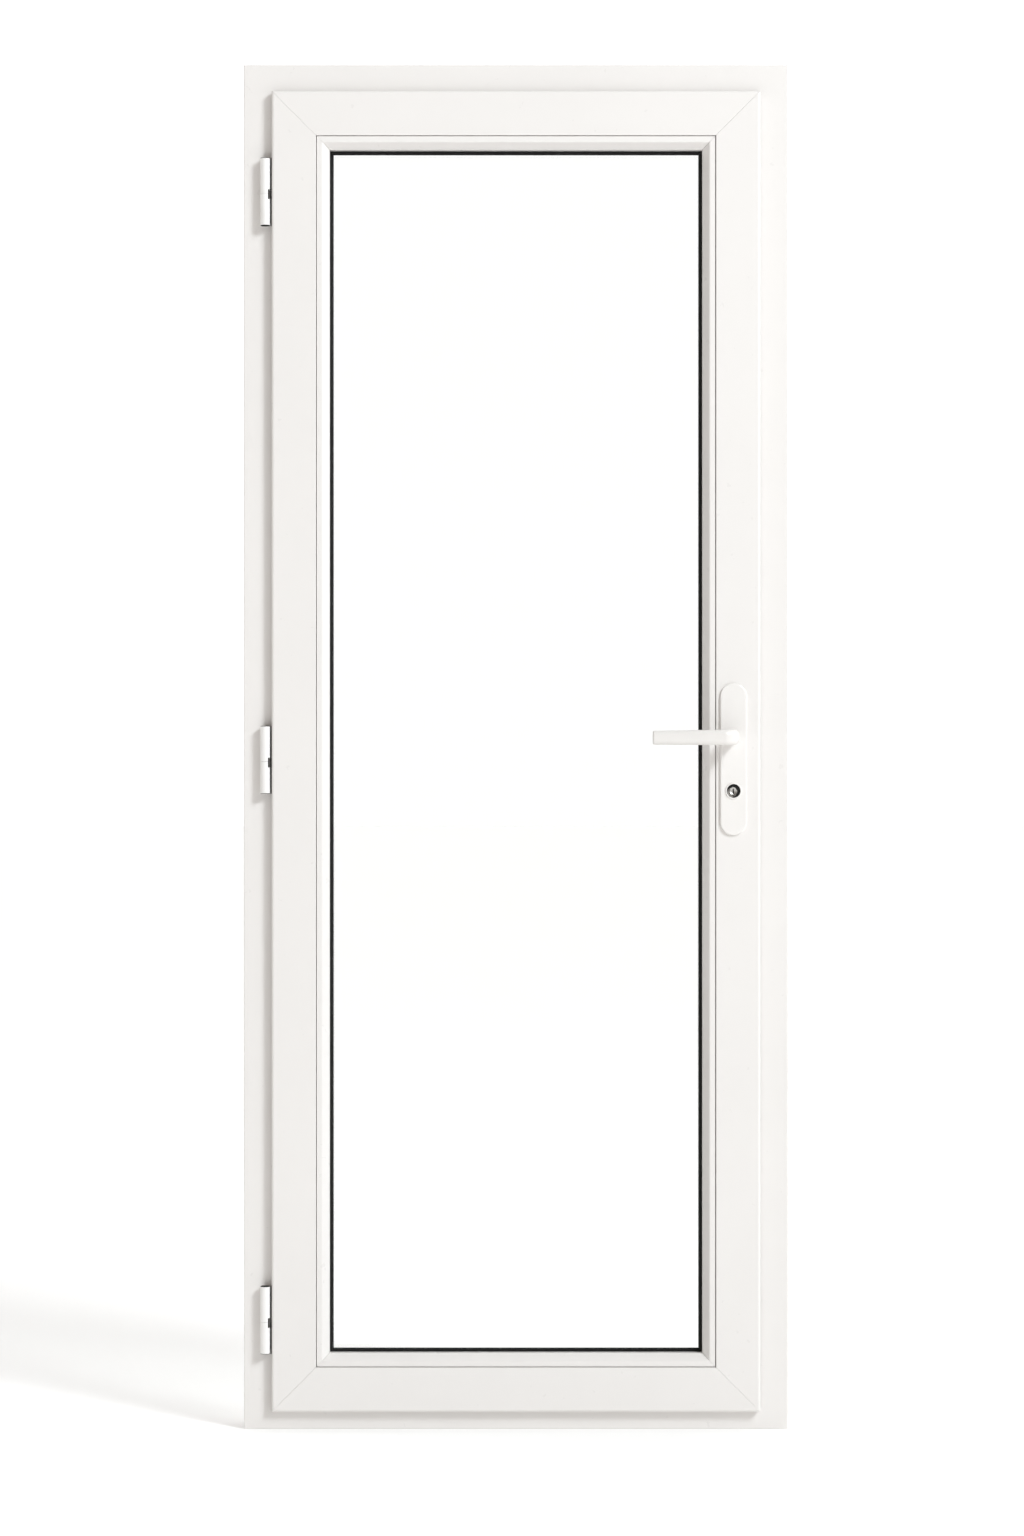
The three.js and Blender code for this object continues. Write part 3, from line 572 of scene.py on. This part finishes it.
spindle_hole = turned_bar(SPINDLE_HOLE, -THROUGH, THROUGH, 0.1, "y", (LOCK_X, 0, LEVER_Z))
cylinder_hole = turned_bar(CYLINDER_BORE, -THROUGH, THROUGH, 0.1, "y", (LOCK_X, 0, CYLINDER_Z))
case_low = low("lock_case")
case_high = high("lock_case")
MORTISE_AIR = 1                             # all round the lock case
mortise = block(case_low.x - MORTISE_AIR, case_high.x + MORTISE_AIR,
                case_low.y - MORTISE_AIR, case_high.y + MORTISE_AIR,
                case_low.z - MORTISE_AIR, case_high.z + MORTISE_AIR, 0.5)
for side, node in SASH_NODES.items():
    member = to_mesh(node, mitred_bar(SASH_SECTION, side, SASH_RECT, WELD_GAP / 2, 0.2))
    if side == "right":
        member = cut(member, mortise, spindle_hole, cylinder_hole)
    add_piece(node + "_profile", member, PVC, "white_pvc", "sash", node)

BEAD_SECTION = rounded([
    (BEAD_START, BEAD_FRONT, 0.6), (BEAD_FLAT + 1.2, BEAD_FRONT, 4.2),
    (LEG_REACH, BEAD_SLOPE_END, 1.2), (LEG_REACH, BEAD_BACK, 0.5), (BEAD_START, BEAD_BACK, 0.3),
])
for side in SIDES:
    add_piece("glazing_bead_" + side + "_profile",
              to_mesh("bead", mitred_bar(BEAD_SECTION, side, SASH_RECT, WELD_GAP / 2, 0.2)),
              PVC, "white_pvc", "sash", "glazing_bead_" + side)

# Each gasket has a thin foot under the bead or the leg and a rounded lip on the glass.
inner_back = high("inner_glazing_gasket").y
inner_gasket = rounded([
    (84, BEAD_BACK + TOUCH, 0.4), (LEG_REACH + TOUCH, BEAD_BACK + TOUCH, 0.1),
    (LEG_REACH + 0.5, BEAD_BACK - 3.4, 1.2), (SIGHT_LINE - 1.6, BEAD_BACK - 2.0, 1.8),
    (SIGHT_LINE, inner_back, 0.6), (84, inner_back, 0.4),
], 4)
outer_front = low("outer_glazing_gasket").y
outer_gasket = rounded([
    (84, LEG_FRONT - TOUCH, 0.4), (OUTER_SIGHT_LINE, LEG_FRONT - TOUCH, 1.0),
    (OUTER_SIGHT_LINE, outer_front, 0.6), (84, outer_front, 0.4),
], 4)
for node, section in (("inner_glazing_gasket", inner_gasket), ("outer_glazing_gasket", outer_gasket)):
    add_piece(node + "_lip", to_mesh(node, ring_round(section, SASH_RECT)),
              RUBBER, "black_rubber", "sash", node)


def pane(node):
    """A sheet of glass with ground edges."""
    a, b = low(node), high(node)
    sheet = [Vector((a.x, a.z)), Vector((b.x, a.z)), Vector((b.x, b.z)), Vector((a.x, b.z))]
    small = inset(sheet, 0.5)
    levels = [(small, a.y), (sheet, a.y + 0.5), (sheet, b.y - 0.5), (small, b.y)]
    solid = loft([[Vector((p.x, y, p.y)) for p in ring] for ring, y in levels])
    add_piece(node + "_sheet", to_mesh(node, solid), GLASS, "clear_glass", "sash", node)


pane("glass_inner_pane")
pane("glass_outer_pane")


# ---------- hinges ----------

BARREL_RADIUS = 8
SHADE_WASHER = 0.8                                # black end washers, flush with the barrel's ends: painted shade for the dark lines at the barrel's ends
NOTCH_LOW = 42                              # the window in the barrel, from its foot
NOTCH_HIGH = 57.5
NOTCH_DEPTH = 3.4
BUSH_RADIUS = 5.9
GAP_SHADE_STRIP = 1.5                                 # thickness of the black strip beside the barrel, painted shade in the gap
FOOT_HALF = 6                               # half the width of the foot behind the lower barrel
FOOT_LOW = 100                              # heights below the top of the barrel
FOOT_HIGH = 64
ARM_LOW = 48
ARM_HIGH = 8
WEB_LEFT = 1.5                              # the upper web starts this far left of the pin
ARM_FRONT = -36.6
LEAF_THICKNESS = 2.4
for place in ("top", "middle", "bottom"):
    frame_node = "frame_hinge_leaf_" + place
    sash_node = "sash_hinge_leaf_" + place
    pin_node = "hinge_pin_" + place
    axis_x = (low(pin_node).x + high(pin_node).x) / 2
    axis_y = (low(pin_node).y + high(pin_node).y) / 2
    centre = (axis_x, axis_y, 0)
    foot = low(frame_node).z
    crown = high(sash_node).z
    split_low = high(frame_node).z + 0.15
    split_high = low(sash_node).z - 0.15
    arm_low = crown - ARM_LOW
    arm_high = crown - ARM_HIGH
    arm_back = high(frame_node).y
    edge_x = high(sash_node).x
    window = block(axis_x + BARREL_RADIUS - NOTCH_DEPTH, axis_x + BARREL_RADIUS + 1, axis_y - 9, axis_y + 4,
                   foot + NOTCH_LOW, foot + NOTCH_HIGH, 0.4)

    lower_bar = turned_bar(BARREL_RADIUS, foot + SHADE_WASHER, split_low, 0.45, "z", centre)
    lower_foot = block(axis_x - FOOT_HALF, axis_x + FOOT_HALF, axis_y, arm_back,
                       crown - FOOT_LOW, crown - FOOT_HIGH, 0.8)
    add_piece("frame_hinge_knuckle_" + place,
              cut(to_mesh(frame_node, lower_bar), window),
              COAT, "white_coated_metal", "frame", frame_node)
    add_piece("frame_hinge_foot_" + place, to_mesh(frame_node, lower_foot),
              COAT, "white_coated_metal", "frame")

    upper_bar = turned_bar(BARREL_RADIUS, split_high, crown - SHADE_WASHER, 0.45, "z", centre)
    web = block(axis_x - WEB_LEFT, axis_x + FOOT_HALF, axis_y, arm_back, arm_low, arm_high, 0.6)
    arm = block(axis_x, edge_x, ARM_FRONT, arm_back, arm_low, arm_high, 0.3)
    leaf = block(edge_x - LEAF_THICKNESS, edge_x, ARM_FRONT, high(sash_node).y, arm_low, arm_high, 0.4)
    add_piece("sash_hinge_knuckle_" + place,
              cut(to_mesh(sash_node, upper_bar), window),
              COAT, "white_coated_metal", "sash", sash_node)
    add_piece("sash_hinge_arm_" + place, to_mesh(sash_node, web, arm, leaf),
              COAT, "white_coated_metal", "sash")

    sleeve = turned_bar(BUSH_RADIUS, foot + NOTCH_LOW - 4, foot + NOTCH_HIGH + 4, 0.3, "z", centre)
    # The black washers at both ends of the barrel are painted shade, for the dark lines under and over the
    # knuckles; the sleeve is the dark bushing seen in the window.
    lower_shade_washer = turned_bar(BARREL_RADIUS - 0.4, foot, foot + SHADE_WASHER - 0.1, 0.2, "z", centre)
    upper_shade_washer = turned_bar(BARREL_RADIUS - 0.4, crown - SHADE_WASHER + 0.1, crown, 0.2, "z", centre)
    add_piece("hinge_bushing_and_shade_washers_" + place, to_mesh("bushing", sleeve, lower_shade_washer, upper_shade_washer),
              RUBBER, "black_rubber", "frame")
    # A black strip on the leaf's edge behind the gap beside the barrel: painted shade, so that the gap
    # reads black.
    gap_shade_strip_x = low("sash_top_rail").x - 0.1
    strip = block(gap_shade_strip_x - GAP_SHADE_STRIP, gap_shade_strip_x, SASH_FRONT + 2.5, LIP_BACK - 1, foot, crown, 0.4)
    add_piece("hinge_gap_shade_strip_" + place, to_mesh("strip", strip), RUBBER, "black_rubber", "sash")


# ---------- handle set ----------

def superellipse(half_z, half_y, power, steps=64):
    """A section between an ellipse (power 2) and a box (large power)."""
    points = []
    for k in range(steps):
        angle = 2 * math.pi * k / steps
        c, s = math.cos(angle), math.sin(angle)
        points.append((half_y * math.copysign(abs(c) ** (2 / power), c),
                       half_z * math.copysign(abs(s) ** (2 / power), s)))
    return points


STEM_EMBED = 3                              # how deep the stem starts behind the plate's face
STEM_SLIMMER = 1.8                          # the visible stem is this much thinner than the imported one
STEM_STRAIGHT = 2                           # the stem's flare starts this far in front of the plate
TIP_EDGE = 2.6                              # rounding of the tip
TIP_TAPER = 1.1                             # what the bar's half height loses up to its tip
TIP_DROP = 0.9                              # how much lower the tip is than the spindle
BAR_EXTRA = 0.3                             # added to the bar's half height at the elbow
ROUND = 2.0                                 # superellipse power of the stem
SQUARER = 0.35                              # added to the power in the bar
STEM_STEPS = 12
ELBOW_STEPS = 24
BAR_STEPS = 12
TIP_STEPS = 5


def ease(value):
    """A smooth rise from 0 to 1, level at both ends."""
    value = min(max(value, 0.0), 1.0)
    return value * value * (3 - 2 * value)


def lever(node, plate_face, way, stem, height, thickness, bend):
    """A smooth bar that comes straight out of the plate, turns through 90 degrees and tapers to its tip."""
    tip = low(node).x
    farthest = high(node).y if way > 0 else low(node).y
    bar_y = farthest - way * (stem + STEM_SLIMMER)
    start_y = plate_face - way * STEM_EMBED
    turn_y = bar_y - way * bend
    turn_x = LOCK_X - bend
    path = []
    for k in range(STEM_STEPS + 1):
        path.append((LOCK_X, start_y + (turn_y - start_y) * k / STEM_STEPS, 0.0))
    for k in range(1, ELBOW_STEPS + 1):
        angle = math.pi / 2 * k / ELBOW_STEPS
        path.append((turn_x + bend * math.cos(angle), turn_y + way * bend * math.sin(angle), angle))
    for k in range(1, BAR_STEPS + 1):
        path.append((turn_x + (tip + TIP_EDGE - turn_x) * k / BAR_STEPS, bar_y, math.pi / 2))
    for k in range(1, TIP_STEPS + 1):
        path.append((tip + TIP_EDGE * (1 - math.sin(math.pi / 2 * k / TIP_STEPS)), bar_y, math.pi / 2))
    rings = []
    for x, y, angle in path:
        bent = ease(angle / (math.pi / 2))
        along = min(max((turn_x - x) / (turn_x - tip), 0.0), 1.0)
        edge = max(tip + TIP_EDGE - x, 0.0)
        less = TIP_EDGE - math.sqrt(max(TIP_EDGE ** 2 - edge ** 2, 0.0))
        flare = ease((abs(y - start_y) - STEM_EMBED - STEM_STRAIGHT) / abs(turn_y - start_y))
        half_z = stem + (height / 2 + BAR_EXTRA - stem) * flare - TIP_TAPER * along - less
        half_side = stem + (thickness / 2 - stem) * bent - less
        power = ROUND + SQUARER * bent
        lean = -TIP_DROP * along
        side = Vector((math.cos(angle), way * math.sin(angle), 0))
        section = superellipse(half_z, half_side, power)
        rings.append([Vector((x, y, LEVER_Z + lean + v)) + side * u for u, v in section])
    return to_mesh(node, loft(rings))


PLATE_EDGE = 2.6
PLATE_THROUGH = 100                         # reach of a hole's cutter, past both faces of a plate
RIM_HEIGHT = 2                              # of the raised rim round the cylinder


def backplate(node, back, front, rim, width, stem):
    """A round-ended plate with a hole for the stem and a raised rim round the cylinder."""
    way = 1 if front > back else -1
    a, b = low(node), high(node)
    outline = stadium(width, b.z - a.z, LOCK_X, (a.z + b.z) / 2)
    solid = to_mesh(node, plate(outline, back, front, PLATE_EDGE))
    stem_hole = turned_bar(stem + TOUCH, -PLATE_THROUGH, PLATE_THROUGH, 0.1, "y", (LOCK_X, 0, LEVER_Z))
    bore = turned_bar(CYLINDER_BORE, -PLATE_THROUGH, PLATE_THROUGH, 0.1, "y", (LOCK_X, 0, CYLINDER_Z))
    solid = cut(solid, stem_hole, bore)
    lip = [
        (10.85, front - way * 3.8), (10.85, rim - way * 0.7), (11.5, rim), (12.2, rim),
        (12.8, rim - way * 0.5), (13.0, rim - way * 1.2),
        (13.2, front + way * 0.2), (13.9, front - way * 0.3),
    ]
    ring = to_mesh("rim", lathe(lip, "y", (LOCK_X, 0, CYLINDER_Z), closed=True))
    joined = bmesh.new()
    joined.from_mesh(solid)
    joined.from_mesh(ring)
    joined.to_mesh(solid)
    joined.free()
    return solid


INNER_STEM = 8.2                            # radius of the visible stem
OUTER_STEM = 5.7
inner_back_y = high("inner_backplate").y
inner_rim_y = low("inner_backplate").y
inner_front_y = inner_rim_y + RIM_HEIGHT
outer_back_y = low("outer_backplate").y
outer_rim_y = high("outer_backplate").y
outer_front_y = outer_rim_y - RIM_HEIGHT
inner_width = high("inner_backplate").x - low("inner_backplate").x
outer_width = high("outer_backplate").x - low("outer_backplate").x
add_piece("inner_backplate_cover",
          backplate("inner_backplate", inner_back_y, inner_front_y, inner_rim_y, inner_width, INNER_STEM),
          HANDLE_COAT, "white_coated_metal", "sash", "inner_backplate")
add_piece("outer_backplate_cover",
          backplate("outer_backplate", outer_back_y, outer_front_y, outer_rim_y, outer_width, OUTER_STEM),
          HANDLE_COAT, "white_coated_metal", "sash", "outer_backplate")
add_piece("lever_inner_grip",
          lever("lever_inner", inner_front_y, -1, INNER_STEM, height=24, thickness=17, bend=18),
          LEVER_SHADED_COAT, "white_coated_metal", "handle", "lever_inner")
add_piece("lever_outer_grip",
          lever("lever_outer", outer_front_y, 1, OUTER_STEM, height=18, thickness=12, bend=12),
          LEVER_SHADED_COAT, "white_coated_metal", "handle", "lever_outer")

# The cylinder's sleeve and the plug inside it, with a keyway at each end.
face = low("lock_cylinder")
tail = high("lock_cylinder")
sleeve_wall = [
    (6.8, face.y + 0.4), (7.2, face.y), (10.0, face.y), (10.5, face.y + 0.5),
    (10.5, tail.y - 0.5), (10.0, tail.y), (7.2, tail.y), (6.8, tail.y - 0.4),
]
add_piece("lock_cylinder_sleeve",
          to_mesh("sleeve", lathe(sleeve_wall, "y", (LOCK_X, 0, CYLINDER_Z), closed=True)),
          PLUG, "brushed_nickel", "sash", "lock_cylinder")
nose = low("cylinder_plug").y
DISH_RADIUS = 10.0                          # the plug's room end is slightly hollow
DISH_RIM = 5.9
dish_floor = nose + 0.2 + DISH_RADIUS - math.sqrt(DISH_RADIUS ** 2 - DISH_RIM ** 2)
dish = [(radius, dish_floor - DISH_RADIUS + math.sqrt(DISH_RADIUS ** 2 - radius ** 2))
        for radius in (0.4, 1.5, 2.5, 3.5, 4.5, 5.3, DISH_RIM)]
plug_side = [(6.2, nose), (6.5, nose + 0.4), (6.5, tail.y - 0.4), (6.1, tail.y)]
plug = lathe(dish + plug_side, "y", (LOCK_X, 0, CYLINDER_Z))
keyways = [
    block(LOCK_X - 1.1, LOCK_X + 1.1, y - 22, y + 22, CYLINDER_Z - 4.5, CYLINDER_Z + 3.5, 0.3)
    for y in (nose, tail.y)
]
add_piece("cylinder_plug_core", cut(to_mesh("plug", plug), *keyways),
          PLUG, "brushed_nickel", "cylinder_plug", "cylinder_plug")

# A black ring in the mouth of the bore, whose round hole sits low and towards the hinges: painted shade,
# its black crescent at the upper right standing for the shadow deep in the bore.
COVER_OUTER = 10.7
COVER_HOLE = 8.0
SHADE_CRESCENT_SHIFT = 1.85                          # of the hole, along X and along Z
cover_front = inner_rim_y + 1.6
cover_back = nose - 0.6
cover_rings = []
for radius, y, shift in (
    (COVER_OUTER, cover_front + 0.3, 0), (COVER_OUTER, cover_back, 0),
    (COVER_HOLE, cover_back, SHADE_CRESCENT_SHIFT), (COVER_HOLE, cover_front + 0.5, SHADE_CRESCENT_SHIFT),
    (COVER_HOLE + 0.2, cover_front, SHADE_CRESCENT_SHIFT), (COVER_OUTER - 0.1, cover_front, 0),
):
    circle = arc((LOCK_X - shift, CYLINDER_Z - shift), radius, 0, 2 * math.pi, 64)[:-1]
    cover_rings.append([Vector((p.x, y, p.y)) for p in circle])
add_piece("cylinder_painted_shade_ring", to_mesh("cover", loft(cover_rings, closed=True)),
          RUBBER, "black_rubber", "sash")


# ---------- carried-over nodes ----------

# The CAD nodes that show as they are: their own material, and slightly rounded edges on the metal ones.
METAL_EDGE = 0.35
for carried in NODES.values():
    for place in carried.material_slots:
        place.material = SLOT_MATERIALS[place.material.name]
    if carried.material_slots and carried.material_slots[0].material in (ZINC, NICKEL):
        edge = carried.modifiers.new("edges", "BEVEL")
        edge.width = METAL_EDGE * MM
        edge.segments = 2
        edge.limit_method = "ANGLE"
        edge.angle_limit = math.radians(40)
        edge.harden_normals = True

# ---------- floor, light and camera ----------

FLOOR_REACH = 60.0
FLOOR_STEPS = 24
BLEND_HALF = 0.35                           # of the soft change between the two halves of the world
LAMP_COLOUR = (0.95, 1.0, 1.035)


def studio_floor():
    """A large pale sheet under the object, with its own faint mottle."""
    flat = Material("studio_floor")
    flat.colour(flat.noise(1.5, 2.0), [(0.3, (0.925, 0.915, 0.9)), (0.7, (0.935, 0.925, 0.91))])
    flat.roughness(flat.noise(4.0, 2.0), 0.85, 0.95)
    flat.fixed(Specular_IOR_Level=0.1, Emission_Color=(0.97, 1.0, 1.05, 1), Emission_Strength=0.15)
    sheet = bmesh.new()
    bmesh.ops.create_grid(sheet, x_segments=FLOOR_STEPS, y_segments=FLOOR_STEPS, size=FLOOR_REACH)
    mesh = bpy.data.meshes.new("floor")
    sheet.to_mesh(mesh)
    sheet.free()
    mesh.materials.append(flat.material)
    floor = bpy.data.objects.new("floor", mesh)
    bpy.context.scene.collection.objects.link(floor)


def studio_world(room, outside):
    """Soft light all round: one colour (r, g, b) on the room side, another behind the object."""
    world = bpy.data.worlds.new("studio")
    world.use_nodes = True
    tree = world.node_tree
    place = tree.nodes.new("ShaderNodeTexCoord")
    split = tree.nodes.new("ShaderNodeSeparateXYZ")
    ramp = tree.nodes.new("ShaderNodeMapRange")
    ramp.interpolation_type = "SMOOTHSTEP"
    ramp.inputs["From Min"].default_value = -BLEND_HALF
    ramp.inputs["From Max"].default_value = BLEND_HALF
    choice = tree.nodes.new("ShaderNodeMixShader")
    tree.links.new(place.outputs["Generated"], split.inputs["Vector"])
    tree.links.new(split.outputs["Y"], ramp.inputs["Value"])
    tree.links.new(ramp.outputs["Result"], choice.inputs["Fac"])
    for socket, colour in ((1, room), (2, outside)):
        background = tree.nodes.new("ShaderNodeBackground")
        background.inputs["Color"].default_value = (*colour, 1)
        tree.links.new(background.outputs["Background"], choice.inputs[socket])
    tree.links.new(choice.outputs["Shader"], tree.nodes["World Output"].inputs["Surface"])
    bpy.context.scene.world = world


def lamp(kind, place, target, strength, size):
    """A sun (its size is an angle in degrees) or a round area lamp (its size is in metres)."""
    data = bpy.data.lights.new(kind.lower(), kind)
    data.energy = strength
    data.color = LAMP_COLOUR
    if kind == "SUN":
        data.angle = math.radians(size)
    else:
        data.shape = "DISK"
        data.size = size
    light = bpy.data.objects.new(kind.lower(), data)
    light.location = place
    light.rotation_euler = (Vector(target) - Vector(place)).to_track_quat("-Z", "Y").to_euler()
    bpy.context.scene.collection.objects.link(light)


studio_floor()
studio_world(room=(0.33, 0.307, 0.285), outside=(1.14, 1.135, 1.13))
KEY_PLACE = (3.2, -3.2, 4.25)
KEY_TARGET = (0, 0, 1.1)
lamp("SUN", KEY_PLACE, KEY_TARGET, strength=1.15, size=15)
lamp("AREA", KEY_PLACE, KEY_TARGET, strength=100, size=1.5)

CAMERA_PLACE = (-0.0064, -5.831, 1.0565)
CAMERA_LENS = 85
CAMERA_SENSOR = 36
CAMERA_REACH = 200
camera_data = bpy.data.cameras.new("camera")
camera_data.lens = CAMERA_LENS
camera_data.sensor_width = CAMERA_SENSOR
camera_data.clip_end = CAMERA_REACH
camera = bpy.data.objects.new("camera", camera_data)
camera.location = CAMERA_PLACE
camera.rotation_euler = (math.pi / 2, 0, 0)
bpy.context.scene.collection.objects.link(camera)
bpy.context.scene.camera = camera
bpy.context.scene.view_settings.view_transform = "Standard"
